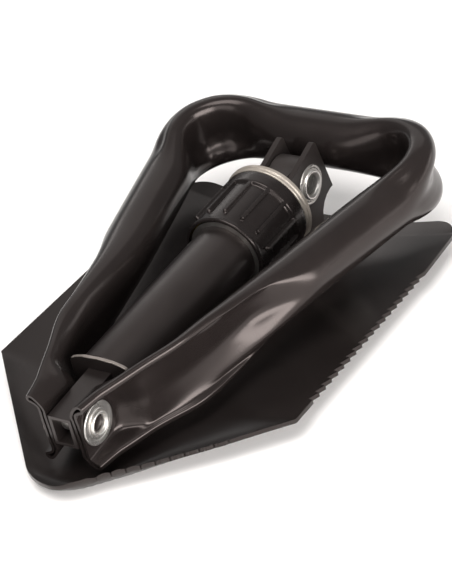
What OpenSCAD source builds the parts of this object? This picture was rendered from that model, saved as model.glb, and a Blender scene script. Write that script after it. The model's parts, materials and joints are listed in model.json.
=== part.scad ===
// Folding camp shovel in three folding members: blade, shaft and D-shaped handle.
// Rest pose: folded, lying on the underside of the blade, points of the blade toward -Y.
// Frame: X across (toothed edge at +X), Y along (grip at +Y), Z up, millimetres.
// Lengths along Y are counted from the sharp point where the blade's tapers would meet.

/* [Blade] */
// half of the blade's width
blade_half_width = 76; // [70:0.5:82]
// where the straight sides turn into the taper
shoulder_y = 80.2; // [72:0.2:88]
// back edge of the blade
blade_back_y = 235.5; // [233:0.5:238]
// half width at the back corners
back_half_width = 74.2; // [73:0.1:75]
// thickness of the sheet
sheet = 2; // [1.5:0.1:2.5]
// radius of the rounded tip
tip_radius = 25; // [18:0.5:27]
// radius of the two back corners
back_corner_radius = 15; // [8:0.5:18]
// height of the underside along the straight sides
side_rise = 10; // [6:0.5:12]
// height of the underside at the tip
tip_rise = 7; // [3:0.5:9.5]
// half width of the flat floor strip
floor_half = 18; // [16:0.5:22]
// further rise of the bent foot step behind its crease
step_rise = 2; // [1:0.5:4]
// distance from the crease to the back edge
step_depth = 10; // [7:0.5:12]

/* [Teeth] */
// distance between saw teeth
saw_pitch = 5.2; // [4.5:0.1:6]
// depth of the saw teeth
saw_depth = 2.6; // [1.5:0.1:3.5]
// number of saw teeth
saw_count = 19; // [12:1:20]
// first saw tooth
saw_start_y = 94; // [90:0.5:98]
// how far the scallops stand out between their notches
scallop_depth = 1.3; // [0.8:0.1:1.8]
// number of scallops
scallop_count = 9; // [6:1:12]

/* [Far pivot and yoke] */
// position of the far pivot along the blade
far_y = 212.8; // [210:0.2:215]
// height of the far pivot
far_z = 34.1; // [33:0.1:35]
// inner face of each ear
ear_inner = 7.2; // [7:0.1:7.5]
// thickness of each ear
ear_thick = 2.6; // [2:0.1:3]
// distance from the pivot to each locking flat
flat_reach = 14; // [13.4:0.1:14.2]
// rounding of the ear's top corner
ear_corner = 2; // [1:0.2:3]
// outer radius of the far rivet's shank
far_shank_r = 5.9; // [5.6:0.1:6.2]
// radius of the hole through the far rivet
far_hole_r = 5; // [4.5:0.1:5.2]

/* [Shaft] */
// distance between the two pivots
pivot_span = 176.3; // [174:0.1:178]
// rise of the shaft toward the far pivot, in degrees
shaft_pitch = 2.9; // [2.7:0.1:3.1]
// outer radius of the tube
tube_r = 15.1; // [14.9:0.1:15.2]
// wall of the tube
tube_wall = 1.5; // [1.2:0.1:1.6]
// half width of the end plate
plate_half = 14.6; // [14:0.1:14.8]
// thickness of the end plate
plate_thick = 1.8; // [1.4:0.1:2.2]
// half width of the handle bracket
bracket_half = 5.7; // [5.4:0.1:5.9]
// wall of the handle bracket
bracket_wall = 1.6; // [1.2:0.1:1.8]

/* [Collar] */
// lead of the collar's thread, the travel in one turn
thread_lead = 6; // [5:0.5:8]
// outer radius over the collar's ribs
rib_r = 21.3; // [20.8:0.1:21.6]
// outer radius of the collar's skirt
skirt_r = 19.35; // [19:0.05:19.6]
// number of ribs
rib_count = 14; // [10:1:16]
// width of each rib
rib_width = 2; // [1.2:0.1:3]
// angle of the first rib from upright, in degrees
first_rib = 3; // [-12:0.5:12]
// outer radius of the thrust ring
ring_r = 21.9; // [21.6:0.1:22.2]

/* [Handle] */
// outer radius of the handle tube along the grip
handle_r = 13.1; // [12.8:0.1:13.4]
// outer radius of the handle tube along the legs
leg_r = 12; // [11.6:0.1:12.6]
// wall of the handle tube
handle_wall = 1.5; // [1.2:0.1:1.6]
// distance from the near pivot to the middle of the grip
grip_reach = 205.3; // [204:0.1:207]
// half of the distance between the legs' lines where they meet the grip's line
grip_half = 67.1; // [65:0.1:69]
// sideways run of each leg for each millimetre of its length
leg_slope = 0.236; // [0.22:0.002:0.25]
// pitch of the handle's plane, in degrees
handle_pitch = 5.05; // [4.8:0.05:5.3]
// radius of the bends, on the tube's centre line
bend_r = 26; // [20:0.5:28]
// outer radius of the near rivet's shank
near_shank_r = 4.4; // [4.2:0.1:4.6]
// radius of the hole through the near rivet
near_hole_r = 3.75; // [3.2:0.05:3.8]

/* [Hidden] */
$fn = 64;
run_fit = 0.06;
// point of the blade that stands over the origin
middle_y = 132.8;
taper_angle = atan2(shoulder_y, blade_half_width);
nose_y = tip_radius / cos(taper_angle);
nose_inset = 4;
nose_floor = 10;
washer_r = 9.5;
washer_thick = 0.75;
ear_outer = ear_inner + ear_thick;
head_thick = 1.1;
crease_y = blade_back_y - step_depth;

// stations along the shaft, counted from the far pivot toward the near one
ring_front = 20.1;
ring_thick = 3.9;
collar_front = ring_front + ring_thick + 0.05;
rib_top = 31.8;
rib_end = 54.7;
rib_height = rib_r - skirt_r - 0.2;
skirt_end = 60.2;
tube_far = 27;
tube_near = 154.3;
stem_r = tube_r - tube_wall;
sleeve_r = 16.6;
insert_bore = sleeve_r + 0.1;
insert_r = 18.2;
lug_half = 6.3;
lug_r = 12;

// handle section: twenty sides, and the web's middle plane
sides = 20;
web_half = 1.7;
web_x = 8.2;
flat_height = 17.2;
bead_r = 2.8;
bead_side = 0.87 * bead_r;
bead_z = flat_height - bead_r;
handle_drop = 2.35;
grip_bend = 90 + atan(leg_slope);
bend_set = bend_r * tan(grip_bend / 2);

function smooth(t) = let (c = max(0, min(1, t))) c * c * (3 - 2 * c);
function mix(a, b, t) = a * (1 - t) + b * t;

module in_place() {
  translate([0, -middle_y, 0]) children();
}

// children are drawn about the far pivot, with +Y along the shaft, away from the tube
module at_far_pivot() {
  in_place() translate([0, far_y, far_z]) rotate([shaft_pitch, 0, 0]) children();
}

module at_near_pivot() {
  at_far_pivot() translate([0, -pivot_span, 0]) children();
}

// a cylinder round the shaft's axis, from station a to station b
module turned(r, a, b) {
  translate([0, -a, 0]) rotate([90, 0, 0]) cylinder(r = r, h = b - a);
}

// a cylinder across the shovel, from x = a to x = b
module crosswise(r, a, b) {
  translate([a, 0, 0]) rotate([0, 90, 0]) cylinder(r = r, h = b - a);
}

module both_sides() {
  children();
  mirror([1, 0, 0]) children();
}

// ---- blade ----

// how far a point is from the middle of the nose's arc, or, behind the nose, from the middle
// line; and how far the edge is in the same direction. The scalloped side is cut in.
function outward(x, y) = norm([x, min(0, y - nose_y)]);
function edge_at(x, y) =
  y >= shoulder_y ? blade_half_width
  : y >= nose_y ? blade_half_width * y / shoulder_y - cut_in(x, y)
  : tip_radius / cos(max(0, atan2(abs(x), nose_y - y) - taper_angle)) - cut_in(x, y);
function cut_in(x, y) = nose_inset * smooth((62 - y) / 40) * smooth(x / 14);
function floor_at(y) = mix(nose_floor, floor_half, smooth((y - 20) / 45));
function edge_rise(y) = mix(tip_rise, side_rise, smooth(y / shoulder_y));
function dish(x, y) = let (
    t = (outward(x, y) - floor_at(y)) / (edge_at(x, y) - floor_at(y))
  ) pow(max(0, min(1.1, t)), mix(2, 1.5, smooth((y - 30) / 40)));
function foot_step(x, y) = y <= crease_y ? 0
  : step_rise * (y - crease_y) / step_depth * mix(0.35, 1, dish(x, y));
function underside(x, y) =
  edge_rise(y) * dish(x, y) + foot_step(x, y);

grid_half = [4, 8, 11, 14, 17, 20, 24, 28, 33, 39, 46, 54, 63, 71, 80];
grid_x = concat([for (i = [len(grid_half) - 1:-1:0]) -grid_half[i]], grid_half);
grid_y = [
  5, 9, 12, 15, 18, 21, 24, 28, 32, nose_y, 41, 47, 54, 62, 71, shoulder_y, 100, 130, 160,
  190, crease_y - 2, crease_y, crease_y + 1.5, blade_back_y + 2
];

// the dished sheet, larger than the blade all round
module dished_sheet() {
  nx = len(grid_x);
  ny = len(grid_y);
  low = [for (y = grid_y) for (x = grid_x) [x, y, underside(x, y)]];
  high = [for (p = low) [p[0], p[1], p[2] + sheet]];
  up = nx * ny;
  function id(i, j) = j * nx + i;
  top = [
    for (j = [0:ny - 2]) for (i = [0:nx - 2])
      each [
        [up + id(i, j), up + id(i, j + 1), up + id(i + 1, j)],
        [up + id(i + 1, j), up + id(i, j + 1), up + id(i + 1, j + 1)]
      ]
  ];
  bottom = [for (f = top) [f[0] - up, f[2] - up, f[1] - up]];
  rim = concat(
    [for (i = [0:nx - 1]) id(i, 0)],
    [for (j = [1:ny - 1]) id(nx - 1, j)],
    [for (i = [nx - 2:-1:0]) id(i, ny - 1)],
    [for (j = [ny - 2:-1:1]) id(0, j)]
  );
  wall = [
    for (k = [0:len(rim) - 1])
      let (a = rim[k], b = rim[(k + 1) % len(rim)])
        each [[a, a + up, b], [b, a + up, b + up]]
  ];
  polyhedron(points = concat(low, high), faces = concat(top, bottom, wall));
}

module plain_outline() {
  turn = 90 - taper_angle;
  tip = [
    for (a = [-90 - turn:turn / 8:-90 + turn])
      [tip_radius * cos(a), nose_y + tip_radius * sin(a)]
  ];
  c = back_corner_radius;
  corner = [back_half_width - c, blade_back_y - c];
  right_back = [for (a = [0:15:90]) corner + c * [cos(a), sin(a)]];
  left_back = [for (p = right_back) [-p[0], p[1]]];
  saw_end = saw_start_y + saw_count * saw_pitch;
  polygon(concat(
    tip, [[blade_half_width, shoulder_y], [blade_half_width, saw_end]], right_back,
    [for (i = [len(left_back) - 1:-1:0]) left_back[i]],
    [[-blade_half_width, saw_end], [-blade_half_width, shoulder_y]]
  ));
}

module saw_gullets() {
  for (i = [0:saw_count - 1])
    translate([blade_half_width, saw_start_y + i * saw_pitch])
      polygon([[1, -0.4], [0, 0], [-saw_depth, 0.7], [0, saw_pitch], [1, saw_pitch - 0.4]]);
}

// rounded lobes with sharp notches between them; their line runs in toward the tip, where
// the sheet is cut back in a tighter curve
module scallop_notches() {
  first = [15.3, 22.4];
  last = [55.8, 59.9];
  run = (last - first) / scallop_count;
  out = [run[1], -run[0]] / norm(run);
  lobe = [[0, 0], [0.1, 0.45], [0.25, 0.85], [0.5, 1], [0.75, 0.85], [0.9, 0.45]];
  polygon(concat(
    [[0, 11.2], [2.6, 11.8], [6.2, 13.1], [10.1, 15.5], [12.6, 17.8], [14, 20]],
    [
      for (i = [0:scallop_count - 1]) for (p = lobe)
        first + (i + p[0]) * run + p[1] * scallop_depth * out
    ],
    [last, last + 0.2 * out + 0.1 * run, last + 5 * out + 0.1 * run, [50, 10], [0, 5]]
  ));
}

module blade() {
  color([0.14, 0.12, 0.12]) in_place() difference() {
    intersection() {
      dished_sheet();
      translate([0, 0, -1]) linear_extrude(30) difference() {
        plain_outline();
        saw_gullets();
        scallop_notches();
      }
    }
    for (y = yoke_rivet_y) translate([0, y, 0]) {
      translate([0, 0, -1]) cylinder(r = yoke_rivet_r + run_fit, h = sheet + 2);
      cylinder(r1 = 3.7 + run_fit, r2 = yoke_rivet_r + run_fit, h = 1.2);
    }
  }
}

// ---- yoke and far pivot ----

yoke_rivet_y = [200, 208, 216];
yoke_rivet_r = 2.4;
base_thick = 2.6;

function polar(r, a) = [r * cos(a), r * sin(a)];

// side view of an ear about the far pivot: three locking flats at equal reach
module ear_outline() {
  folded = 180 + shaft_pitch;
  hoe = 108.4;
  dig = 16.9;
  low = base_thick / 2 + sheet - far_z;
  r = ear_corner;
  inner = flat_reach - r;
  near_top = polar(flat_reach / cos((folded - hoe) / 2), (folded + hoe) / 2);
  top = polar(inner / cos((hoe - dig) / 2), (hoe + dig) / 2);
  far_corner = polar(flat_reach, dig) + polar(15.6, dig - 90);
  notch = [17.5, -22];
  notch_r = norm(far_corner - notch);
  polygon(concat(
    [near_top],
    [for (a = [hoe:-15.25:dig]) top + polar(r, a)],
    [far_corner],
    [for (a = [100:20:180]) notch + polar(notch_r, a)],
    [[notch[0] - notch_r, low], [(flat_reach - low * sin(folded)) / cos(folded), low]]
  ));
}

module blade_yoke() {
  color([0.16, 0.14, 0.14]) in_place() difference() {
    union() {
      both_sides() translate([ear_inner, far_y, far_z])
        rotate([90, 0, 90]) linear_extrude(ear_thick) ear_outline();
      translate([-ear_outer, far_y - 15.8, sheet])
        cube([2 * ear_outer, 22.3, base_thick]);
    }
    translate([0, far_y, far_z]) crosswise(far_shank_r, -ear_outer - 1, ear_outer + 1);
    for (y = yoke_rivet_y) translate([0, y, 0]) cylinder(r = yoke_rivet_r + run_fit, h = 10);
  }
}

module yoke_rivets() {
  top = sheet + base_thick;
  color([0.2, 0.18, 0.18]) in_place() for (y = yoke_rivet_y) translate([0, y, 0]) {
    cylinder(r = yoke_rivet_r, h = top + 0.5);
    cylinder(r1 = 3.7, r2 = yoke_rivet_r, h = 1.2);
    translate([0, 0, top]) rotate_extrude() polygon([
      [0, 0], [3.8, 0], [3.8, 0.5], [3.2, 1.2], [2.2, 1.6], [0, 1.8]
    ]);
  }
}

// tubular rivet across the shovel: a shank, and a rolled lip beyond each washer
module tubular_rivet(hole_r, shank_r, head_r, face) {
  edge = face + head_thick;
  lip = (head_r - shank_r) / 2;
  rotate([0, 90, 0]) rotate_extrude() polygon([
    [hole_r, -edge + 0.9], [hole_r + 0.5, -edge + 0.25], [shank_r + 0.2, -edge],
    [head_r - lip * 0.6, -edge + 0.1], [head_r, -face - 0.35], [head_r, -face],
    [shank_r, -face], [shank_r, face], [head_r, face], [head_r, face + 0.35],
    [head_r - lip * 0.6, edge - 0.1], [shank_r + 0.2, edge],
    [hole_r + 0.5, edge - 0.25], [hole_r, edge - 0.9]
  ]);
}

far_face = ear_outer + washer_thick;

module blade_pivot_rivet() {
  color([0.78, 0.77, 0.75]) in_place() translate([0, far_y, far_z])
    tubular_rivet(far_hole_r, far_shank_r, 7, far_face);
}

module washer(bore, inner_face) {
  translate([inner_face, 0, 0]) rotate([0, 90, 0]) difference() {
    union() {
      cylinder(r = washer_r, h = washer_thick - 0.2);
      translate([0, 0, washer_thick - 0.2])
        cylinder(r1 = washer_r, r2 = washer_r - 0.3, h = 0.2);
    }
    translate([0, 0, -1]) cylinder(r = bore, h = 3);
  }
}

module blade_pivot_washer_right() {
  color([0.75, 0.74, 0.72]) in_place() translate([0, far_y, far_z])
    washer(far_shank_r, ear_outer);
}

module blade_pivot_washer_left() {
  color([0.75, 0.74, 0.72]) in_place() translate([0, far_y, far_z])
    mirror([1, 0, 0]) washer(far_shank_r, ear_outer);
}

// ---- shaft ----

module swivel_tongue() {
  color([0.22, 0.2, 0.2]) at_far_pivot() difference() {
    union() {
      turned(stem_r, tube_far, 62);
      crosswise(lug_r, -lug_half, lug_half);
      translate([-lug_half, -tube_far - 1, 1 - lug_r])
        cube([2 * lug_half, tube_far + 1, 2 * lug_r - 2]);
    }
    crosswise(far_shank_r + run_fit, -20, 20);
    for (d = pin_stations) translate([0, -d, 0]) crosswise(pin_r, -20, 20);
  }
}

pin_stations = [38, 52];
pin_r = 2.5;

module tongue_spacers() {
  color([0.6, 0.58, 0.55]) at_far_pivot() both_sides() difference() {
    crosswise(10, lug_half + 0.05, ear_inner - 0.05);
    crosswise(far_shank_r + run_fit, 0, 20);
  }
}

module tongue_pins() {
  color([0.5, 0.49, 0.48]) at_far_pivot() for (d = pin_stations)
    translate([0, -d, 0]) crosswise(pin_r, 0.4 - tube_r, tube_r - 0.4);
}

// the thread is drawn as separate ridges
module threaded_sleeve() {
  length = 57 - tube_far;
  root = sleeve_r - 0.6;
  ridge = 1.4;
  color([0.5, 0.49, 0.47]) at_far_pivot()
    translate([0, -tube_far, 0]) rotate([90, 0, 0]) rotate_extrude() polygon(concat(
      [[tube_r, 0], [root, 0]],
      [
        for (h = [1:3:length - 3])
          each [[root, h], [sleeve_r, h + ridge / 2], [root, h + ridge]]
      ],
      [[root, length], [tube_r, length]]
    ));
}

module stop_ring() {
  color([0.4, 0.4, 0.4]) at_far_pivot() difference() {
    turned(17.3, 57, 59.4);
    turned(tube_r, 56, 60);
  }
}

module shaft_tube() {
  color([0.12, 0.11, 0.11]) at_far_pivot() difference() {
    turned(tube_r, tube_far, tube_near);
    turned(stem_r, tube_far - 1, tube_near + 1);
    for (d = pin_stations) translate([0, -d, 0]) crosswise(pin_r, -20, 20);
  }
}

// near end plate: straight sides, crowned top and bottom, rounded corners
module end_plate() {
  h = plate_half;
  c = 2.5;
  quarter = [
    [0, h + 0.4], [h * 0.5, h], [h - c, h - 1.6 + 0.4],
    [h - c * 0.3, h - 1.2 - c * 0.3], [h, h - 1.2 - c]
  ];
  ring = concat(
    quarter,
    [for (i = [4:-1:1]) [quarter[i][0], -quarter[i][1]]],
    [[0, -h - 0.4]],
    [for (i = [1:4]) [-quarter[i][0], -quarter[i][1]]],
    [for (i = [4:-1:1]) [-quarter[i][0], quarter[i][1]]]
  );
  color([0.3, 0.28, 0.27]) at_far_pivot() translate([0, -tube_near, 0])
    rotate([90, 0, 0]) linear_extrude(plate_thick) polygon(ring);
}

bracket_far = tube_near + plate_thick;
bracket_near = 186.6;

// square channel, taller toward the end plate and open at its near end
module bracket_side(inset) {
  polygon([
    [-bracket_far + inset, 9 - inset], [-bracket_near - inset, 7.9 - inset],
    [-bracket_near - inset, -6.9 + inset], [-bracket_far + inset, -8 + inset]
  ]);
}

module handle_bracket() {
  color([0.11, 0.1, 0.1]) at_far_pivot() difference() {
    translate([-bracket_half, 0, 0]) rotate([90, 0, 90])
      linear_extrude(2 * bracket_half) bracket_side(0);
    translate([bracket_wall - bracket_half, 0, 0]) rotate([90, 0, 90])
      linear_extrude(2 * (bracket_half - bracket_wall)) bracket_side(bracket_wall);
    translate([0, -pivot_span, 0]) crosswise(near_shank_r, -20, 20);
    translate([-bracket_half + bracket_wall, -bracket_far - 3, -6])
      cube([2 * (bracket_half - bracket_wall), 3.1, 12]);
  }
}

module handle_bushing() {
  color([0.55, 0.54, 0.52]) at_near_pivot() difference() {
    crosswise(5.5, bracket_wall - bracket_half, bracket_half - bracket_wall);
    crosswise(near_shank_r, -10, 10);
  }
}

near_inner = web_x + web_half + 0.2;

module handle_pivot_rivet() {
  color([0.78, 0.77, 0.75]) at_near_pivot()
    tubular_rivet(near_hole_r, near_shank_r, 5.6, near_inner + washer_thick);
}

module handle_pivot_washer_right() {
  color([0.75, 0.74, 0.72]) at_near_pivot() washer(near_shank_r, near_inner);
}

module handle_pivot_washer_left() {
  color([0.75, 0.74, 0.72]) at_near_pivot()
    mirror([1, 0, 0]) washer(near_shank_r, near_inner);
}

// ---- collar ----

module thrust_ring() {
  lip = 0.5;
  color([0.72, 0.69, 0.62]) at_far_pivot() difference() {
    union() {
      translate([0, -ring_front, 0]) rotate([90, 0, 0]) rotate_extrude() polygon([
        [13.7, 0], [ring_r - lip, 0], [ring_r, lip],
        [ring_r, ring_thick - lip], [ring_r - lip, ring_thick], [13.7, ring_thick]
      ]);
      turned(18.35, ring_front + ring_thick - 0.1, ring_front + ring_thick + 2.6);
    }
    turned(16.9, ring_front + ring_thick, ring_front + ring_thick + 5);
    turned(13.7, ring_front - 1, ring_front + ring_thick + 1);
  }
}

// narrow ribs run from the rim and end in round noses above the plain skirt
module locking_collar() {
  half = rib_width / 2;
  color([0.09, 0.085, 0.085]) at_far_pivot() difference() {
    union() {
      translate([0, -collar_front, 0]) rotate([90, 0, 0]) rotate_extrude() polygon([
        [insert_r, 0], [rib_r - 0.4, 0], [rib_r, 0.4],
        [rib_r, rib_top - collar_front - 0.6], [rib_r - 0.6, rib_top - collar_front],
        [skirt_r + 0.5, rib_top - collar_front + 0.6], [skirt_r, skirt_end - collar_front - 0.7],
        [skirt_r - 0.7, skirt_end - collar_front], [insert_r, skirt_end - collar_front]
      ]);
      for (i = [0:rib_count - 1]) rotate([0, first_rib + i * 360 / rib_count, 0]) {
        translate([-half, half - rib_end, skirt_r - 1])
          cube([rib_width, rib_end - rib_top, rib_height + 1]);
        translate([0, half - rib_end, skirt_r - 1]) cylinder(r = half, h = rib_height + 1);
      }
    }
    turned(18.4, collar_front - 1, collar_front + 2.65);
  }
}

// the thread is drawn as separate grooves
module collar_thread_insert() {
  front = 30;
  length = 25.6;
  groove = 1.4;
  color([0.7, 0.6, 0.35]) at_far_pivot()
    translate([0, -front, 0]) rotate([90, 0, 0]) rotate_extrude() polygon(concat(
      [[insert_r, 0], [insert_bore, 0]],
      [
        for (h = [2:3:length - 3])
          each [[insert_bore, h], [insert_bore + 0.6, h + groove / 2], [insert_bore, h + groove]]
      ],
      [[insert_bore, length], [insert_r, length]]
    ));
}

// ---- handle ----

// lines of the leg's middle and of its two rolled beads, by distance from the pivot
function leg_middle(y) =
  grip_half + leg_slope * (y - grip_reach) - 6.5 * pow(max(0, 76 - y) / 76, 2);
function bead_line(y) =
  leg_middle(y) + 2.3 + 1.2 * smooth(1 - abs(y - 38) / 20) + 0.2 * max(0, -y);
// middle of the pressed web: flat round the pivot, then a round flare out to the leg
function web_offset(y, z) = let (
    reach = norm([max(0, y), z * smooth(y / 8)]),
    flare = smooth((reach - 12.2) / 8.6)
  ) mix(web_x, leg_middle(y), flare) - leg_middle(y);

// half sections, from the outer side over the top to the inner side
function radius_at(y) = mix(leg_r, handle_r, smooth((y - 165) / 30));
function round_at(i, y) = radius_at(y) * [cos(i * 360 / sides), sin(i * 360 / sides)];
function flat_half(y) = let (o = bead_line(y) - leg_middle(y)) [
  [web_offset(y, 0) + web_half, 0],
  [web_offset(y, 5) + web_half, 5],
  [web_offset(y, 10) + web_half, bead_z - bead_r - 1.4],
  [o - 0.2, bead_z - bead_r],
  [o + bead_side, bead_z - bead_r / 2],
  [o + bead_side, bead_z + bead_r / 2],
  [o + 0.6, flat_height],
  [o - 1.6, bead_z + bead_r - 0.3],
  [web_offset(y, 11.5) - web_half, 11.5],
  [web_offset(y, 7) - web_half, 7.5],
  [web_offset(y, 0) - web_half, 0]
];
bend_half = [
  [7.1, 0], [8.9, 5], [10.6, 9.6], [9.6, 13.6], [6, 16.4], [1.6, 17],
  [-3.4, 15.8], [-6.9, 12.9], [-5.9, 8.6], [-3.4, 4.3], [-2.2, 0]
];

// a station: x, reach, heading, flattening, crushing
function half_at(i, s) =
  mix(mix(round_at(i, s[1]), flat_half(s[1])[i], s[3]), bend_half[i], s[4]);
function loop_at(i, s) = let (k = i % sides)
  k <= sides / 2 ? half_at(k, s) : let (p = half_at(sides - k, s)) [p[0], -p[1]];
function bore_at(i, s) = let (d = loop_at(i + 1, s) - loop_at(i + sides - 1, s))
  loop_at(i, s) - handle_wall * [d[1], -d[0]] / norm(d);

function leg_flat(y) = 1 - smooth((y - 22) / 90);
leg_heading = 90 - atan(leg_slope);
leg_y = [-10, -4, 2, 7, 10, 13, 16, 20, 25, 32, 41, 52, 64, 76, 90, 105, 135, 168];
bend_centre = [
  grip_half - bend_set * sin(atan(leg_slope)) - bend_r * sin(leg_heading),
  grip_reach - bend_r
];
leg_stations = [
  for (y = leg_y) let (turn = atan2(leg_middle(y + 1) - leg_middle(y - 1), 2))
    [leg_middle(y), y, 90 - turn * (1 - leg_flat(y)), leg_flat(y), y > 160 ? 0.1 : 0]
];
bend_steps = 7;
bend_stations = [
  for (i = [0:bend_steps]) let (
      heading = leg_heading + grip_bend * i / bend_steps,
      a = heading - 90
    )
    [
      bend_centre[0] + bend_r * cos(a), bend_centre[1] + bend_r * sin(a), heading, 0,
      0.25 + 0.75 * pow(sin(180 * i / bend_steps), 0.8)
    ]
];
grip_stations = [for (x = [28, 14]) [x, grip_reach, 180, 0, x > 20 ? 0.1 : 0]];
right_run = concat(leg_stations, bend_stations, grip_stations);
left_run = [
  for (i = [len(right_run) - 1:-1:0]) let (s = right_run[i])
    [-s[0], s[1], 360 - s[2], s[3], s[4]]
];
full_run = concat(right_run, [[0, grip_reach, 180, 0, 0]], left_run);

function drop_at(y) = -handle_drop * pow(max(0, y - 40) / (grip_reach - 40), 2);
function placed(s, p) =
  [s[0] + p[0] * sin(s[2]), s[1] - p[0] * cos(s[2]), drop_at(s[1]) + p[1]];

module bent_tube() {
  n = len(full_run);
  outer = [for (s = full_run) for (i = [0:sides - 1]) placed(s, loop_at(i, s))];
  inner = [for (s = full_run) for (i = [0:sides - 1]) placed(s, bore_at(i, s))];
  off = n * sides;
  function id(j, i) = j * sides + i % sides;
  skin = [
    for (j = [0:n - 2]) for (i = [0:sides - 1])
      each [
        [id(j, i), id(j, i + 1), id(j + 1, i)],
        [id(j + 1, i), id(j, i + 1), id(j + 1, i + 1)]
      ]
  ];
  bore = [for (f = skin) [f[0] + off, f[2] + off, f[1] + off]];
  first = [
    for (i = [0:sides - 1])
      each [[id(0, i), off + id(0, i), id(0, i + 1)], [id(0, i + 1), off + id(0, i), off + id(0, i + 1)]]
  ];
  last = [
    for (i = [0:sides - 1])
      each [
        [id(n - 1, i), id(n - 1, i + 1), off + id(n - 1, i)],
        [id(n - 1, i + 1), off + id(n - 1, i + 1), off + id(n - 1, i)]
      ]
  ];
  polyhedron(points = concat(outer, inner), faces = concat(skin, bore, first, last));
}

module handle_frame() {
  color([0.13, 0.115, 0.115]) at_near_pivot() rotate([handle_pitch - shaft_pitch, 0, 0])
    difference() {
      bent_tube();
      crosswise(near_shank_r + run_fit, -20, 20);
    }
}

blade();
blade_yoke();
yoke_rivets();
blade_pivot_rivet();
blade_pivot_washer_left();
blade_pivot_washer_right();
swivel_tongue();
tongue_spacers();
tongue_pins();
threaded_sleeve();
stop_ring();
shaft_tube();
locking_collar();
collar_thread_insert();
thrust_ring();
end_plate();
handle_bracket();
handle_bushing();
handle_pivot_rivet();
handle_pivot_washer_left();
handle_pivot_washer_right();
handle_frame();
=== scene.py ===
"""Looks of the folding camp shovel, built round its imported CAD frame, in metres."""

import json
import math

import bmesh
import bpy
import numpy as np
from mathutils import Matrix, Vector
from mathutils.geometry import delaunay_2d_cdt


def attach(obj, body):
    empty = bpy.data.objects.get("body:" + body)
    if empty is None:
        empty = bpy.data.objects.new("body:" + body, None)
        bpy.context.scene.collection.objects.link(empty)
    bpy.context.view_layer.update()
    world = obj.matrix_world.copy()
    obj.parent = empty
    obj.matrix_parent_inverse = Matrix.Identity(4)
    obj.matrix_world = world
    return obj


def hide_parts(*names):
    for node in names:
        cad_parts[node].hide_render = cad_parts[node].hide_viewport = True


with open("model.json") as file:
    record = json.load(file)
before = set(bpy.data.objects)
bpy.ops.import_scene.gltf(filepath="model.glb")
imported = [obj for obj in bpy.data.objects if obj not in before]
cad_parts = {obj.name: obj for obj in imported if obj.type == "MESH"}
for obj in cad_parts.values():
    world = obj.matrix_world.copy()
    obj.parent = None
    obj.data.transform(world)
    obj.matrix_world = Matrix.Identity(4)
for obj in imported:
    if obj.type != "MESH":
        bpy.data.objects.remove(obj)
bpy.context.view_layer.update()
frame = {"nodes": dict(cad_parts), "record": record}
MM = 0.001

# ---- places of the moving members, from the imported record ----

joints = {j["name"]: j for j in frame["record"]["behaviour"]["joints"]}
FAR = Vector(joints["blade_fold"]["pos_m"])
NEAR = Vector(joints["handle_fold"]["pos_m"])
SHAFT_PITCH = math.radians(2.9)
HANDLE_PITCH = math.radians(5.05)
MIDDLE_Y = 132.8
on_shaft = Matrix.Translation(FAR) @ Matrix.Rotation(SHAFT_PITCH, 4, "X")
on_handle = Matrix.Translation(NEAR) @ Matrix.Rotation(HANDLE_PITCH, 4, "X")
on_blade = Matrix.Translation((0, -MIDDLE_Y * MM, 0))
at_far = Matrix.Translation(FAR)
at_near = Matrix.Translation(NEAR) @ Matrix.Rotation(SHAFT_PITCH, 4, "X")


def smooth(t):
    c = max(0.0, min(1.0, t))
    return c * c * (3 - 2 * c)


def mix(a, b, t):
    return a * (1 - t) + b * t


# ---- mesh helpers; points are in millimetres in the member's own frame ----

def piece(name, points, faces, place, body, nodes, slot, sharp=38):
    mesh = bpy.data.meshes.new(name)
    mesh.from_pydata([place @ (Vector(p) * MM) for p in points], [], faces)
    bm = bmesh.new()
    bm.from_mesh(mesh)
    bmesh.ops.remove_doubles(bm, verts=bm.verts, dist=2e-7)
    bmesh.ops.recalc_face_normals(bm, faces=bm.faces)
    for face in bm.faces:
        face.smooth = True
    bm.to_mesh(mesh)
    bm.free()
    mesh.set_sharp_from_angle(angle=math.radians(sharp))
    obj = bpy.data.objects.new(name, mesh)
    bpy.context.scene.collection.objects.link(obj)
    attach(obj, body)
    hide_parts(*nodes)
    mesh.materials.append(materials[slot])
    return obj


def loft(rings, closed):
    """Joins rings of equally many points; closed also joins the last ring to the first."""
    count = len(rings[0])
    points = [tuple(p) for ring in rings for p in ring]
    last = len(rings) if closed else len(rings) - 1
    faces = []
    for j in range(last):
        here = j * count
        there = (j + 1) % len(rings) * count
        for i in range(count):
            k = (i + 1) % count
            faces.append((here + i, here + k, there + k, there + i))
    return points, faces


def eased(profile, radius, steps=3):
    """Rounds each corner of a closed profile of (radius, station) points."""
    out = []
    pts = [np.array(p, float) for p in profile]
    for i, p in enumerate(pts):
        a = pts[i - 1] - p
        b = pts[(i + 1) % len(pts)] - p
        la, lb = np.linalg.norm(a), np.linalg.norm(b)
        reach = min(radius, 0.45 * la, 0.45 * lb)
        start = p + a / la * reach
        end = p + b / lb * reach
        for k in range(steps + 1):
            t = k / steps
            out.append(start * (1 - t) ** 2 + p * 2 * t * (1 - t) + end * t * t)
    return out


def turned(profile, steps, across):
    """Revolves a profile round the shaft (stations toward -Y) or across the shovel (+X)."""
    rings = []
    for k in range(steps):
        a = 2 * math.pi * k / steps
        c, s = math.cos(a), math.sin(a)
        if across:
            rings.append([(h, r * c, r * s) for r, h in profile])
        else:
            rings.append([(r * c, -h, r * s) for r, h in profile])
    return loft(rings, True)


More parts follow.
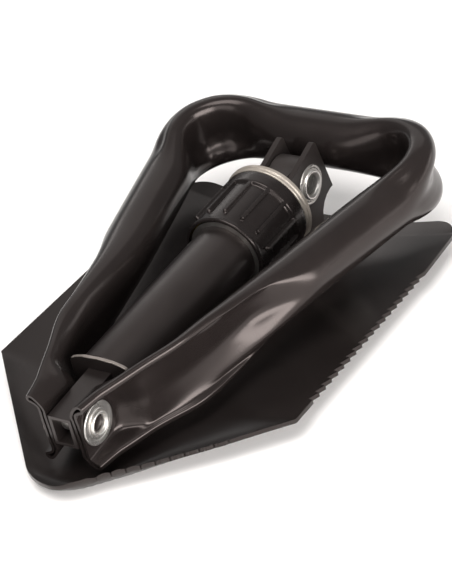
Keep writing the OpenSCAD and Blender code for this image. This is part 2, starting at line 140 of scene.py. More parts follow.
def refined(node, name, body, slot, width, segments=3, angle=28):
    """A CAD solid's shape with its sharp edges rolled over."""
    bm = bmesh.new()
    bm.from_mesh(frame["nodes"][node].data)
    bmesh.ops.remove_doubles(bm, verts=bm.verts, dist=2e-6)
    bmesh.ops.dissolve_limit(
        bm, angle_limit=math.radians(0.6), verts=bm.verts, edges=bm.edges)
    bm.verts.index_update()
    points = [v.co / MM for v in bm.verts]
    faces = [[v.index for v in f.verts] for f in bm.faces]
    bm.free()
    obj = piece(name, points, faces, Matrix.Identity(4), body, [node], slot, angle)
    bevel = obj.modifiers.new("rolled_edges", "BEVEL")
    bevel.width = width * MM
    bevel.segments = segments
    bevel.limit_method = "ANGLE"
    bevel.angle_limit = math.radians(angle)
    bevel.harden_normals = True
    return obj


# ---- materials ----

WARM = (1.0, 0.88, 0.85, 1.0)


class Shader:
    """A Principled material whose grain is measured in millimetres."""

    def __init__(self, name, base, metallic, **fixed):
        self.material = bpy.data.materials.new(name)
        self.material.use_nodes = True
        self.tree = self.material.node_tree
        self.bsdf = self.tree.nodes["Principled BSDF"]
        self.bsdf.inputs["Base Color"].default_value = (*base, 1)
        self.bsdf.inputs["Metallic"].default_value = metallic
        for socket, value in fixed.items():
            self.bsdf.inputs[socket.replace("_", " ")].default_value = value
        self.bsdf.inputs["Specular Tint"].default_value = WARM
        self.coords = self.tree.nodes.new("ShaderNodeTexCoord")
        self.height = None

    def noise(self, size, stretch=(1, 1, 1), detail=3, rough=0.55):
        """Noise with features of the given size; a small stretch draws it out along that axis."""
        mapping = self.tree.nodes.new("ShaderNodeMapping")
        mapping.inputs["Scale"].default_value = stretch
        self.tree.links.new(self.coords.outputs["Object"], mapping.inputs["Vector"])
        n = self.tree.nodes.new("ShaderNodeTexNoise")
        n.inputs["Scale"].default_value = 1 / (size * MM)
        n.inputs["Detail"].default_value = detail
        n.inputs["Roughness"].default_value = rough
        self.tree.links.new(mapping.outputs["Vector"], n.inputs["Vector"])
        return n.outputs["Fac"]

    def spread(self, value, low, high, start=0.3, end=0.7):
        n = self.tree.nodes.new("ShaderNodeMapRange")
        n.inputs["From Min"].default_value = start
        n.inputs["From Max"].default_value = end
        n.inputs["To Min"].default_value = low
        n.inputs["To Max"].default_value = high
        self.tree.links.new(value, n.inputs["Value"])
        return n.outputs["Result"]

    def tint(self, value, low, high, start=0.3, end=0.7):
        ramp = self.tree.nodes.new("ShaderNodeValToRGB")
        ramp.color_ramp.elements[0].position = start
        ramp.color_ramp.elements[0].color = (*low, 1)
        ramp.color_ramp.elements[1].position = end
        ramp.color_ramp.elements[1].color = (*high, 1)
        self.tree.links.new(value, ramp.inputs["Fac"])
        self.tree.links.new(ramp.outputs["Color"], self.bsdf.inputs["Base Color"])

    def gloss_map(self, value, low, high, start=0.3, end=0.7):
        self.tree.links.new(
            self.spread(value, low, high, start, end), self.bsdf.inputs["Roughness"])

    def bump(self, value, depth, strength=1.0):
        n = self.tree.nodes.new("ShaderNodeBump")
        n.inputs["Strength"].default_value = strength
        n.inputs["Distance"].default_value = depth * MM
        self.tree.links.new(value, n.inputs["Height"])
        if self.height:
            self.tree.links.new(self.height, n.inputs["Normal"])
        self.height = n.outputs["Normal"]
        self.tree.links.new(self.height, self.bsdf.inputs["Normal"])


def paint(name, dark, light, gloss, peel, level):
    """Baked enamel: slow tone shifts, orange peel and a fine dust of pits."""
    s = Shader(name, dark, 0.0, IOR=1.5, Specular_IOR_Level=level)
    s.tint(s.noise(26, detail=4), dark, light)
    s.gloss_map(s.noise(12, detail=3), gloss, gloss + 0.05)
    s.bump(s.noise(4.5, detail=1), peel)
    s.bump(s.noise(0.9, detail=1), peel * 0.08)
    return s.material


def metal(name, dark, light, gloss, stretch, grain, depth, metallic):
    """Bare or plated metal with tool marks drawn out along one direction."""
    s = Shader(name, dark, metallic)
    s.tint(s.noise(4, detail=4), dark, light)
    s.gloss_map(s.noise(1.5, stretch, detail=4), gloss, gloss + 0.16)
    s.bump(s.noise(grain, stretch, detail=3, rough=0.7), depth)
    s.bump(s.noise(0.6, detail=3), depth * 0.8)
    return s.material


def plastic(name, dark, light, gloss):
    """Moulded plastic: a fine grain over slow, shallow waves."""
    s = Shader(name, dark, 0.0, IOR=1.48, Specular_IOR_Level=0.4)
    s.tint(s.noise(7, detail=4), dark, light)
    s.gloss_map(s.noise(6, detail=2), gloss, gloss + 0.05)
    s.bump(s.noise(0.9, detail=1), 0.001)
    s.bump(s.noise(5, detail=1), 0.004)
    return s.material


AROUND_SHAFT = (0.05, 1, 0.05)
AROUND_RIVET = (1, 0.05, 0.05)
# name: dark and light tone, roughness, peel depth in mm, specular level
PAINTS = {
    "blade_paint": ((0.0100, 0.0080, 0.0075), (0.0128, 0.0104, 0.0098), 0.22, 0.006, 0.3),
    "handle_paint": ((0.0092, 0.0072, 0.0068), (0.0118, 0.0094, 0.0089), 0.20, 0.006, 0.36),
    "shaft_paint": ((0.0095, 0.0076, 0.0072), (0.0118, 0.0096, 0.0092), 0.30, 0.006, 0.5),
    "tongue_paint": ((0.016, 0.0135, 0.0128), (0.022, 0.019, 0.018), 0.42, 0.01, 0.35),
    # The yoke's satin enamel is the blade's black with its tones lifted: painted light on the ear
    # faces.
    "yoke_satin_painted_light": ((0.015, 0.0122, 0.0115), (0.019, 0.0158, 0.0150), 0.42, 0.006, 0.22),
}
# name: dark and light tone, roughness, direction of the marks, their size and depth, metallic
METALS = {
    "ring_metal": (
        (0.33, 0.30, 0.26), (0.43, 0.39, 0.345), 0.36, AROUND_SHAFT, 0.6, 0.003, 0.7),
    "plated_steel": (
        (0.34, 0.33, 0.315), (0.47, 0.46, 0.44), 0.2, AROUND_RIVET, 0.8, 0.004, 0.85),
    "rivet_plate": (
        (0.56, 0.55, 0.53), (0.70, 0.69, 0.66), 0.22, AROUND_RIVET, 0.8, 0.004, 0.85),
    "bare_steel": (
        (0.30, 0.29, 0.28), (0.42, 0.41, 0.39), 0.34, AROUND_SHAFT, 0.3, 0.012, 1.0),
    "insert_brass": (
        (0.50, 0.38, 0.15), (0.62, 0.49, 0.22), 0.30, AROUND_SHAFT, 0.3, 0.012, 1.0),
    "cut_edge": (
        (0.20, 0.18, 0.16), (0.30, 0.27, 0.25), 0.32, AROUND_RIVET, 0.8, 0.003, 0.6),
}
materials = {name: paint(name, *look) for name, look in PAINTS.items()}
materials.update((name, metal(name, *look)) for name, look in METALS.items())
materials["collar_plastic"] = plastic(
    "collar_plastic", (0.0065, 0.0052, 0.0050), (0.0090, 0.0074, 0.0071), 0.24)
slots = {p["node"]: p["material_slot"] for p in frame["record"]["subparts"]}
for node, obj in frame["nodes"].items():
    obj.data.materials.clear()
    obj.data.materials.append(materials[slots[node]])


# ---- blade: a dished sheet cut to its outline ----

# Stations run from the tip (0) to the back edge.
BLADE_HALF, SHOULDER_Y, BACK_Y, BACK_HALF = 76.0, 80.2, 235.5, 74.2
SHEET, TIP_R, BACK_R = 2.0, 25.0, 15.0
TIP_RISE, SIDE_RISE, STEP_RISE, STEP_DEPTH = 7.0, 10.0, 2.0, 10.0
TAPER = math.atan2(SHOULDER_Y, BLADE_HALF)
NOSE_Y = TIP_R / math.cos(TAPER)
CREASE_Y = BACK_Y - STEP_DEPTH
YOKE_RIVETS_Y = (200, 208, 216)
HOLE_R, HOLE_TOP_R, HOLE_STEPS = 3.76, 2.46, 24
SCALLOPS, SCALLOP_DEPTH, SCALLOP_STEPS = 9, 1.3, 10
TEETH, TOOTH_PITCH, TOOTH_DEPTH, TEETH_START = 19, 5.2, 2.6, 94.0
GRID, ROWS, HALF_COLUMNS, RIM_GAP = 2.6, 86, 29, 1.1


def cut_in(x, y):
    return 4 * smooth((62 - y) / 40) * smooth(x / 14)


def edge_at(x, y):
    if y >= SHOULDER_Y:
        return BLADE_HALF
    if y >= NOSE_Y:
        return BLADE_HALF * y / SHOULDER_Y - cut_in(x, y)
    turn = max(0.0, math.atan2(abs(x), NOSE_Y - y) - TAPER)
    return TIP_R / math.cos(turn) - cut_in(x, y)


def underside(x, y):
    floor = mix(10, 18, smooth((y - 20) / 45))
    out = math.hypot(x, min(0, y - NOSE_Y))
    t = (out - floor) / (edge_at(x, y) - floor)
    dish = max(0.0, min(1.1, t)) ** mix(2, 1.5, smooth((y - 30) / 40))
    step = 0.0
    if y > CREASE_Y:
        step = STEP_RISE * (y - CREASE_Y) / STEP_DEPTH * mix(0.35, 1, dish)
    return mix(TIP_RISE, SIDE_RISE, smooth(y / SHOULDER_Y)) * dish + step


def blade_outline():
    """Counter-clockwise seen from above, starting on the left of the rounded tip."""
    turn = math.pi / 2 - TAPER
    tip = [-math.pi / 2 - turn + turn * k / 20 for k in range(21)]
    line = [(TIP_R * math.cos(a), NOSE_Y + TIP_R * math.sin(a)) for a in tip]
    line += [(1.3, 11.5), (2.6, 11.8), (4.4, 12.3), (6.2, 13.1), (8.2, 14.2),
             (10.1, 15.5), (11.4, 16.6), (12.6, 17.8), (13.4, 18.8), (14.0, 20.0)]
    first, last = np.array((15.3, 22.4)), np.array((55.8, 59.9))
    run = (last - first) / SCALLOPS
    out = np.array((run[1], -run[0])) / np.linalg.norm(run)
    for i in range(SCALLOPS):
        for k in range(SCALLOP_STEPS):
            t = k / SCALLOP_STEPS
            dip = SCALLOP_DEPTH * math.sin(math.pi * t) ** 0.7
            line.append(tuple(first + (i + t) * run + dip * out))
    line.append(tuple(last))
    q = last + 0.2 * out + 0.1 * run
    slope = SHOULDER_Y / BLADE_HALF
    reach = (slope * q[0] - q[1]) / (out[1] - slope * out[0])
    line += [tuple(q), tuple(q + reach * out)]
    line += [(66.0, 66.0 * slope), (BLADE_HALF, SHOULDER_Y)]
    for i in range(TEETH):
        y = TEETH_START + i * TOOTH_PITCH
        line += [(BLADE_HALF, y), (BLADE_HALF - TOOTH_DEPTH * 0.55, y + 0.35),
                 (BLADE_HALF - TOOTH_DEPTH, y + 0.7),
                 (BLADE_HALF - TOOTH_DEPTH * 0.5, y + 0.35 + TOOTH_PITCH / 2)]
    end = TEETH_START + TEETH * TOOTH_PITCH
    line.append((BLADE_HALF, end))
    corner = (BACK_HALF - BACK_R, BACK_Y - BACK_R)
    arc = [(corner[0] + BACK_R * math.cos(a), corner[1] + BACK_R * math.sin(a))
           for a in (math.pi / 2 * k / 14 for k in range(15))]
    line += arc
    line += [(x, BACK_Y) for x in range(56, -57, -4)]
    line += [(-x, y) for x, y in reversed(arc)]
    line += [(-BLADE_HALF, end - 4.0 * k) for k in range(29) if end - 4.0 * k > SHOULDER_Y + 2]
    line += [(-BLADE_HALF, SHOULDER_Y), (-66.0, 66.0 * slope), (-50.0, 50.0 * slope),
             (-34.0, 34.0 * slope)]
    return line


def inside(x, y, line):
    hit = False
    for (x0, y0), (x1, y1) in zip(line, line[1:] + line[:1]):
        if (y0 > y) != (y1 > y) and x < x0 + (y - y0) * (x1 - x0) / (y1 - y0):
            hit = not hit
    return hit


def build_blade():
    """Triangulates the outline with a grid inside it, lifts both faces and rolls the rim."""
    line = blade_outline()
    count = len(line)
    flat = [Vector(p) for p in line]
    edges = [(i, (i + 1) % count) for i in range(count)]
    for y in YOKE_RIVETS_Y:
        base = len(flat)
        for k in range(HOLE_STEPS):
            a = 2 * math.pi * k / HOLE_STEPS
            flat.append(Vector((HOLE_R * math.cos(a), y + HOLE_R * math.sin(a))))
            edges.append((base + k, base + (k + 1) % HOLE_STEPS))
    border = np.array(line)
    rows = [14 + GRID * k for k in range(ROWS)]
    rows = [y for y in rows if abs(y - CREASE_Y) > 1.6]
    rows += [CREASE_Y - 0.7, CREASE_Y, CREASE_Y + 0.7]
    for y in rows:
        for k in range(-HALF_COLUMNS, HALF_COLUMNS + 1):
            x = GRID * k
            near = np.min(np.hypot(border[:, 0] - x, border[:, 1] - y))
            in_hole = any(math.hypot(x, y - c) < HOLE_R + 0.8 for c in YOKE_RIVETS_Y)
            side = BLADE_HALF - 1.4 if y > SHOULDER_Y else 1e3
            if near > RIM_GAP and abs(x) < side and not in_hole and inside(x, y, line):
                flat.append(Vector((x, y)))
    verts, _, faces, *_ = delaunay_2d_cdt(flat, edges, [], 1, 1e-5, False)
    keep = []
    for f in faces:
        cx = sum(verts[i].x for i in f) / len(f)
        cy = sum(verts[i].y for i in f) / len(f)
        if inside(cx, cy, line) and all(
                math.hypot(cx, cy - c) > HOLE_R * 0.98 for c in YOKE_RIVETS_Y):
            keep.append(tuple(f))
    low, high = [], []
    for v in verts:
        z = underside(v.x, v.y)
        low.append((v.x, v.y, z))
        x, y = v.x, v.y
        for c in YOKE_RIVETS_Y:
            if math.hypot(x, y - c) < HOLE_R + 0.01:
                x, y = x * HOLE_TOP_R / HOLE_R, c + (y - c) * HOLE_TOP_R / HOLE_R
        high.append((x, y, z + SHEET))
    n = len(verts)
    used = {}
    for f in keep:
        for a, b in zip(f, f[1:] + f[:1]):
            used[(a, b)] = used.get((a, b), 0) + 1
    rim = [(a, b) for a, b in used if (b, a) not in used]
    solid = [tuple(i + n for i in f) for f in keep] + [f[::-1] for f in keep]
    solid += [(a, b, b + n, a + n) for a, b in rim]
    obj = piece("blade_sheet", low + high, solid, on_blade, "blade_body",
                ["blade"], "blade_paint", 50)
    bevel = obj.modifiers.new("rolled_rim", "BEVEL")
    bevel.width = 0.45 * MM
    bevel.segments = 2
    bevel.limit_method = "ANGLE"
    bevel.angle_limit = math.radians(60)
    return obj


# ---- handle: one bent tube, pressed flat and beaded at its ends, crushed in its bends ----

HANDLE_R, LEG_R, WALL = 13.1, 12.0, 1.2
GRIP_REACH, GRIP_HALF, LEG_SLOPE, BEND_R = 205.3, 67.1, 0.236, 26.0
DROP = 2.35
WEB_HALF, WEB_X, FLAT_HEIGHT, BEAD_R = 1.7, 8.2, 17.2, 2.0
BEAD_SIDE, BEAD_Z = 0.87 * BEAD_R, FLAT_HEIGHT - BEAD_R
SIDES = 20
LEG_HEADING = math.pi / 2 - math.atan(LEG_SLOPE)
GRIP_BEND = math.pi / 2 + math.atan(LEG_SLOPE)
BEND_SET = BEND_R * math.tan(GRIP_BEND / 2)
BEND_CENTRE = (
    GRIP_HALF - BEND_SET * math.sin(math.atan(LEG_SLOPE)) - BEND_R * math.sin(LEG_HEADING),
    GRIP_REACH - BEND_R)
# The crushed section in the bends, above and below, from the outer side round to the inner.
BEND_TOP = [(7.1, 0), (8.9, 5), (10.6, 9.6), (9.6, 13.6), (6.6, 16.2), (3.0, 17.0),
            (0.0, 15.9), (-1.6, 13.0), (-2.1, 9.0), (-2.2, 4.5), (-2.2, 0)]
BEND_LOW = [(7.1, 0), (8.9, -5), (10.6, -9.6), (9.6, -13.6), (6, -16.4), (1.6, -17),
            (-3.4, -15.8), (-6.9, -12.9), (-5.9, -8.6), (-3.4, -4.3), (-2.2, 0)]


def leg_middle(y):
    return GRIP_HALF + LEG_SLOPE * (y - GRIP_REACH) - 6.5 * (max(0, 76 - y) / 76) ** 2


def bead_line(y):
    return leg_middle(y) + 2.3 + 1.2 * smooth(1 - abs(y - 38) / 20) + 0.2 * max(0, -y)


def web_offset(y, z):
    reach = math.hypot(max(0, y), z * smooth(y / 8))
    return mix(WEB_X, leg_middle(y), smooth((reach - 12.2) / 8.6)) - leg_middle(y)


def flat_half(y):
    o = bead_line(y) - leg_middle(y)
    return [
        (web_offset(y, 0) + WEB_HALF, 0), (web_offset(y, 5) + WEB_HALF, 5),
        (web_offset(y, 10) + WEB_HALF, BEAD_Z - BEAD_R - 1.6), (o - 0.2, BEAD_Z - BEAD_R),
        (o + BEAD_SIDE, BEAD_Z - BEAD_R / 2), (o + BEAD_SIDE, BEAD_Z + BEAD_R / 2),
        (o + 0.6, FLAT_HEIGHT), (o - 1.6, BEAD_Z + BEAD_R - 0.3),
        (web_offset(y, 11.5) - WEB_HALF, 11.5), (web_offset(y, 7) - WEB_HALF, 7.5),
        (web_offset(y, 0) - WEB_HALF, 0)]


# Start and run, along the leg, of the changes between its pressed end and the round tube.
PANEL_FADE, SCOOP_FADE, FLAT_FADE = (74, 36), (54, 47), (22, 90)
EDGE_FADE = {1: (34, 78), -1: (46, 62)}
HOLLOW_GROWTH, BULGE_FADE, BULGE_OUT = (14, 26), (68, 50), 2.6
# Shares for each point of a half section, from the panel's middle round to the inner side.
HOLLOW = [0, 0.3, 1.0]
LOW_BULGE = [0, 0.25, 0.75, 1, 1, 1, 0.8, 0.4, 0.2, 0, 0]
SCOOP = {1: [0.1, 0, 0, 0], -1: [0.1, 0.6, 1, 1]}
OUTER_POINTS, LAST_EDGE_POINT = 5, 6


def grown(y, span):
    return smooth((y - span[0]) / span[1])


def section(y, flat, crush):
    """The closed outer loop of twenty points: side, up, in the plane across the tube."""
    r = mix(LEG_R, HANDLE_R, smooth((y - 165) / 30))
    pressed = 1 - grown(y, PANEL_FADE)
    scooped = 1 - grown(y, SCOOP_FADE)
    hollow = grown(y, HOLLOW_GROWTH)
    bulge = BULGE_OUT * hollow * (1 - grown(y, BULGE_FADE))
    shaped = flat_half(y)
    halves = []
    for sign, bend in ((1, BEND_TOP), (-1, BEND_LOW)):
        rolled = 1 - grown(y, EDGE_FADE[sign])
        half = []
        for i in range(SIDES // 2 + 1):
            a = 2 * math.pi * i / SIDES
            x, z = shaped[i]
            hold = flat if i > LAST_EDGE_POINT else rolled
            if i < len(HOLLOW):
                x += hollow * HOLLOW[i]
            if sign < 0:
                x += bulge * LOW_BULGE[i]
            if i < len(SCOOP[sign]):
                panel = mix(pressed, scooped, SCOOP[sign][i])
                hold = panel if i < len(HOLLOW) else mix(panel, rolled, 0.5)
            p = mix(np.array((r * math.cos(a), sign * r * math.sin(a))),
                    np.array((x, sign * z)), hold)
            dent = crush[0] if i < OUTER_POINTS else crush[1]
            half.append(mix(p, np.array(bend[i]), dent))
        halves.append(half)
    return halves[0] + halves[1][-2:0:-1]


def bore_of(loop):
    out = []
    for i, p in enumerate(loop):
        d = loop[(i + 1) % SIDES] - loop[i - 1]
        out.append(p - WALL * np.array((d[1], -d[0])) / np.linalg.norm(d))
    return out


def rounded_loop(loop, steps):
    """A closed centripetal Catmull-Rom curve through the loop's points."""
    n = len(loop)
    out = []
    for i in range(n):
        p = [loop[(i + k - 1) % n] for k in range(4)]
        t = [0.0]
        for k in range(3):
            t.append(t[-1] + math.sqrt(np.linalg.norm(p[k + 1] - p[k])))
        for k in range(steps):
            x = mix(t[1], t[2], k / steps)
            a = [mix(p[j], p[j + 1], (x - t[j]) / (t[j + 1] - t[j])) for j in range(3)]
            b = [mix(a[j], a[j + 1], (x - t[j]) / (t[j + 2] - t[j])) for j in range(2)]
            out.append(mix(b[0], b[1], (x - t[1]) / (t[2] - t[1])))
    return out


def handle_stations():
    """x, reach, heading, flattening and crushing along the right half, from the pivot's end."""
    runs = []
    bend_start = BEND_CENTRE[1] + BEND_R * math.sin(LEG_HEADING - math.pi / 2)
    bend_length = BEND_R * GRIP_BEND

    def crush(t):
        return [smooth((t + lead) / (0.45 + lead)) * smooth((1 + lead - t) / (0.45 + lead))
                for lead in (0.22, 0.5)]

    steps = 86
    for k in range(steps):
        y = mix(-10, bend_start, k / steps)
        flat = 1 - grown(y, FLAT_FADE)
        turn = math.atan2(leg_middle(y + 1) - leg_middle(y - 1), 2)
        t = (y - bend_start) / math.sin(LEG_HEADING) / bend_length
        runs.append((leg_middle(y), y, math.pi / 2 - turn * (1 - flat), flat, crush(t)))
    steps = 30
    for k in range(steps + 1):
        heading = LEG_HEADING + GRIP_BEND * k / steps
        a = heading - math.pi / 2
        runs.append((BEND_CENTRE[0] + BEND_R * math.cos(a), BEND_CENTRE[1] + BEND_R * math.sin(a),
                     heading, 0, crush(k / steps)))
    steps = 14
    for k in range(1, steps):
        x = BEND_CENTRE[0] * (1 - k / steps)
        t = 1 + (BEND_CENTRE[0] - x) / bend_length
        runs.append((x, GRIP_REACH, math.pi, 0, crush(t)))
    mirrored = [(-x, y, 2 * math.pi - h, f, c) for x, y, h, f, c in reversed(runs)]
    return runs + [(0, GRIP_REACH, math.pi, 0, (0, 0))] + mirrored


def build_handle():
    """Sweeps the outer skin along the tube and closes it with the bore's skin."""
    outer, inner = [], []
    for x, y, heading, flat, crush in handle_stations():
        drop = -DROP * (max(0, y - 40) / (GRIP_REACH - 40)) ** 2
        loop = section(y, flat, crush)
        for ring, curve in ((outer, loop), (inner, bore_of(loop))):
            ring.append([(x + p[0] * math.sin(heading), y - p[0] * math.cos(heading), drop + p[1])
                         for p in rounded_loop(curve, 4)])
    points, faces = loft(outer + inner[::-1], True)
    return piece("handle_tube", points, faces, on_handle, "handle_body",
                 ["handle_frame"], "handle_paint", 60)


# ---- screw collar and its ring ----

RING_FRONT, RING_THICK, RING_R = 20.1, 3.9, 21.9
COLLAR_FRONT, RIB_TOP, RIB_END, SKIRT_END = 24.05, 31.8, 54.7, 60.2
RIB_R, INSERT_R, RIBS, RIB_HALF = 21.3, 18.2, 14, 1.0
RIB_FOOT, RIB_SLOPE = 1.2, 0.5
FIRST_RIB = math.radians(3)


def build_collar():
    """A moulded sleeve: rim, round-nosed ribs and a plain skirt with a rolled lip."""
    shape = [
        (COLLAR_FRONT, INSERT_R + 0.2), (COLLAR_FRONT, 20.7), (COLLAR_FRONT + 0.1, 21.0),
        (COLLAR_FRONT + 0.35, 21.22), (COLLAR_FRONT + 0.7, RIB_R), (27, RIB_R), (30, RIB_R),
        (31.0, RIB_R), (31.35, 21.2), (31.6, 20.95), (31.8, 20.55), (32.0, 20.2),
        (32.3, 19.95), (32.8, 19.85)]
    runs = ([33.2 + 1.5 * k for k in range(13)] + [RIB_END - 1.5 + 0.14 * k for k in range(14)]
            + [55.6, 56.4, 57.2, 57.8])
    shape += [(h, mix(19.84, 19.42, (h - 33.2) / 24.6)) for h in runs]
    shape += [(58.1, 19.42), (58.35, 19.55), (58.6, 19.68), (59.2, 19.72), (59.7, 19.68),
              (60.0, 19.5), (SKIRT_END, 19.2), (SKIRT_END, INSERT_R), (45, INSERT_R),
              (26.7, INSERT_R), (26.7, INSERT_R + 0.2)]
    offsets = [0, 0.35, 0.6, 0.7, 0.78, 0.84, 0.9, 0.96, 1.02, 1.08, 1.14, RIB_FOOT,
               1.28, 1.5, 2.2, 3.1]
    pitch = 2 * math.pi / RIBS
    half_arc = pitch * RIB_R / 2
    angles = []
    for i in range(RIBS):
        middle = FIRST_RIB + i * pitch
        for d in [-o for o in reversed(offsets[1:])] + offsets:
            angles.append((middle + d / RIB_R, abs(d)))
        angles.append((middle + pitch / 2, half_arc))
    rings = []
    for h, r in shape:
        ring = []
        for a, d in angles:
            rise = 0.0
            if RIB_TOP - 0.6 < h < RIB_END + 1 and r > INSERT_R + 1:
                away = math.hypot(d, max(0, h - (RIB_END - RIB_HALF)))
                rise = (RIB_R - 0.15 - r) * smooth((RIB_FOOT - away) / RIB_SLOPE)
            radius = max(r, r + rise)
            ring.append((radius * math.sin(a), -h, radius * math.cos(a)))
        rings.append(ring)
    points, faces = loft(rings, True)
    return piece("collar_sleeve", points, faces, on_shaft, "collar_body",
                 ["locking_collar"], "collar_plastic", 75)


def build_thrust_ring():
    back = RING_FRONT + RING_THICK
    profile = eased([
        (13.7, RING_FRONT), (RING_R - 0.15, RING_FRONT), (RING_R, RING_FRONT + 0.3),
        (RING_R, RING_FRONT + 1.9), (RING_R - 0.45, RING_FRONT + 2.15),
        (RING_R - 0.45, back - 0.3), (RING_R - 0.8, back), (18.35, back),
        (18.35, back + 2.6), (16.9, back + 2.6), (16.9, back), (13.7, back)], 0.22)
    points, faces = turned(profile, 160, False)
    return piece("thrust_ring_turned", points, faces, on_shaft, "ring_body",
                 ["thrust_ring"], "ring_metal")


# ---- rivets and washers ----

WASHER_R, WASHER_THICK, HEAD = 9.5, 0.75, 1.1


def build_washer(name, node, bore, inner_face, side, place, body):
    face = inner_face + WASHER_THICK
    profile = eased([
        (bore + 0.02, inner_face), (WASHER_R, inner_face), (WASHER_R, face - 0.3),
        (WASHER_R - 0.3, face), (bore + 2.9, face), (bore + 2.6, face - 0.16),
        (bore + 2.2, face - 0.16), (bore + 1.9, face), (bore + 0.02, face)], 0.12, 2)
    points, faces = turned([(r, side * h) for r, h in profile], 96, True)
    return piece(name, points, faces, place, body, [node], "plated_steel")


def build_rivet(name, node, hole_r, shank_r, head_r, face, place, body):
    """Tubular rivet with both ends rolled over a washer into a raised ring."""
    edge = face + HEAD
    crest = (shank_r + head_r) / 2 - 0.15
    half = [(head_r, face), (head_r + 0.03, face + 0.25), (head_r - 0.15, face + 0.62),
            (crest + 0.45, edge - 0.08), (crest, edge), (crest - 0.45, edge - 0.1),
            (shank_r - 0.25, edge - 0.42), (hole_r + 0.45, edge - 0.62),
            (hole_r + 0.12, edge - 0.95), (hole_r, edge - 1.5)]
    profile = half + [(r, -h) for r, h in reversed(half)] + [(shank_r, -face), (shank_r, face)]
    points, faces = turned(eased(profile, 0.3, 2), 96, True)
    rivet = piece(name, points, faces, place, body, [node], "plated_steel", 50)
    rivet.data.materials[0] = materials["rivet_plate"]
    return rivet


EAR_OUTER = 9.8
NEAR_FACE = WEB_X + WEB_HALF + 0.2


# ---- shaft tube ----

def build_tube():
    """Stations are distances from the far pivot."""
    near, far, outer, wall = 154.3, 27.0, 15.1, 1.5
    profile = eased([(outer - wall, far), (outer, far), (outer, near), (outer - wall, near)], 0.3)
    points, faces = turned(profile, 144, False)
    return piece("shaft_tube_drawn", points, faces, on_shaft, "shaft_body",
                 ["shaft_tube"], "shaft_paint")


build_blade()
build_handle()
build_collar()
build_thrust_ring()
build_tube()
for side, word in ((1, "right"), (-1, "left")):
    build_washer(f"far_washer_{word}", f"blade_pivot_washer_{word}", 5.9, EAR_OUTER,
                 side, at_far, "blade_body")
    build_washer(f"near_washer_{word}", f"handle_pivot_washer_{word}", 4.4, NEAR_FACE,
                 side, at_near, "shaft_body")
build_rivet("far_rivet_rolled", "blade_pivot_rivet", 5.0, 5.9, 7.0,
            EAR_OUTER + WASHER_THICK, at_far, "blade_body")
build_rivet("near_rivet_rolled", "handle_pivot_rivet", 3.75, 4.4, 5.6,
            NEAR_FACE + WASHER_THICK, at_near, "shaft_body")
yoke = refined("blade_yoke", "yoke_pressed", "blade_body", "blade_paint", 0.35)
# The yoke's lifted satin tones are painted light on the ear faces.
yoke.data.materials[0] = materials["yoke_satin_painted_light"]
refined("yoke_rivets", "yoke_rivets_set", "blade_body", "blade_paint", 0.2)
plate = refined("end_plate", "end_plate_pressed", "shaft_body", "shaft_paint", 0.4)
plate.data.materials.append(materials["cut_edge"])
along_shaft = on_shaft.to_3x3() @ Vector((0, 1, 0))
for face in plate.data.polygons:
    if abs(face.normal.dot(along_shaft)) < 0.3:
        face.material_index = 1
refined("handle_bracket", "bracket_folded", "shaft_body", "shaft_paint", 0.45)
refined("swivel_tongue", "tongue_forged", "shaft_body", "tongue_paint", 0.6)


# ---- floor, light and camera ----

def build_floor():
    bm = bmesh.new()
    bmesh.ops.create_grid(bm, x_segments=8, y_segments=8, size=4)
    mesh = bpy.data.meshes.new("floor")
    bm.to_mesh(mesh)
    bm.free()
    floor = bpy.data.objects.new("floor", mesh)
    bpy.context.scene.collection.objects.link(floor)
    s = Shader("floor_paper", (0.9, 0.89, 0.88), 0.0)
    s.tint(s.noise(60, detail=3), (0.90, 0.895, 0.89), (0.93, 0.925, 0.92))
    s.gloss_map(s.noise(20), 0.75, 0.85)
    mesh.materials.append(s.material)


def softbox(name, place, aim, size, watts, colour=(1, 0.97, 0.95)):
    light = bpy.data.lights.new(name, "AREA")
    light.shape = "RECTANGLE"
    light.size, light.size_y = size
    light.energy = watts
    light.color = colour
    obj = bpy.data.objects.new(name, light)
    obj.location = place
    obj.rotation_euler = (Vector(aim) - Vector(place)).to_track_quat("-Z", "Y").to_euler()
    bpy.context.scene.collection.objects.link(obj)


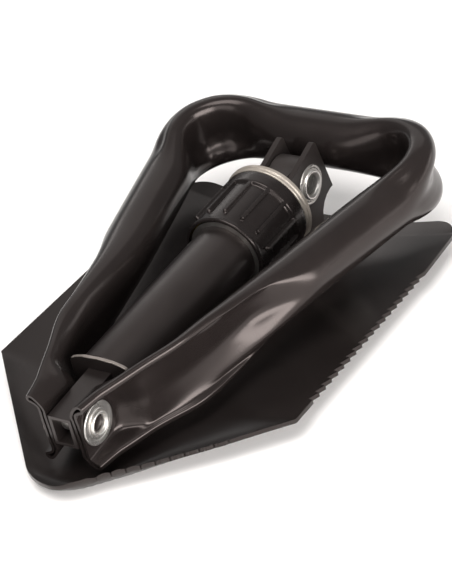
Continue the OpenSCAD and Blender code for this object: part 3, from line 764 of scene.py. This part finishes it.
def build_world(edge, low, high):
    """A pale horizon, a darker band above it and an even studio sky."""
    world = bpy.data.worlds.new("studio")
    world.use_nodes = True
    tree = world.node_tree
    background = tree.nodes["Background"]
    coords = tree.nodes.new("ShaderNodeTexCoord")
    split = tree.nodes.new("ShaderNodeSeparateXYZ")
    level = tree.nodes.new("ShaderNodeValToRGB")
    level.color_ramp.elements[0].position = 0.05
    level.color_ramp.elements[1].position = 0.9
    level.color_ramp.elements.new(0.12)
    for element, value in zip(level.color_ramp.elements, (edge, low, high)):
        element.color = (value, value, value, 1)
    tree.links.new(coords.outputs["Generated"], split.inputs["Vector"])
    tree.links.new(split.outputs["Z"], level.inputs["Fac"])
    tree.links.new(level.outputs["Color"], background.inputs["Color"])
    bpy.context.scene.world = world


def build_camera():
    """The photograph's view, from the solved directions and place of its camera."""
    right = Vector((0.836771, 0.521215, -0.167778))
    forward = Vector((-0.52157, 0.66546, -0.53397))
    place = Vector((0.50377, -0.62674, 0.53016))
    up = right.cross(forward).normalized()
    right = forward.cross(up).normalized()
    camera = bpy.data.cameras.new("photo_view")
    camera.sensor_width = 36
    camera.lens = 134.66
    obj = bpy.data.objects.new("photo_view", camera)
    turn = Matrix((right, up, -forward)).transposed()
    obj.matrix_world = Matrix.Translation(place) @ turn.to_4x4()
    bpy.context.scene.collection.objects.link(obj)
    bpy.context.scene.camera = obj


build_floor()
softbox("key_high", (-0.456, 0.935, 0.937), (0, 0, 0), (1.3, 0.6), 1.5)
softbox("key_low", (-0.84, 0.84, 0.53), (0, 0, 0), (0.55, 0.16), 0.62)
softbox("right_back_low", (0.85, 0.75, 0.16), (0, 0.05, 0.03), (0.9, 0.2), 1.2)
softbox("right_front_low", (1.0, -0.30, 0.25), (0, 0, 0.03), (1.0, 0.5), 19)
softbox("front_fill", (0.45, -1.1, 0.35), (0, 0, 0.03), (1.6, 0.5), 6)
softbox("fill_above", (0.1, -0.5, 1.5), (0, 0, 0), (1.2, 1.2), 28)
build_world(0.8, 0.2, 0.34)
build_camera()
bpy.context.scene.view_settings.view_transform = "Standard"
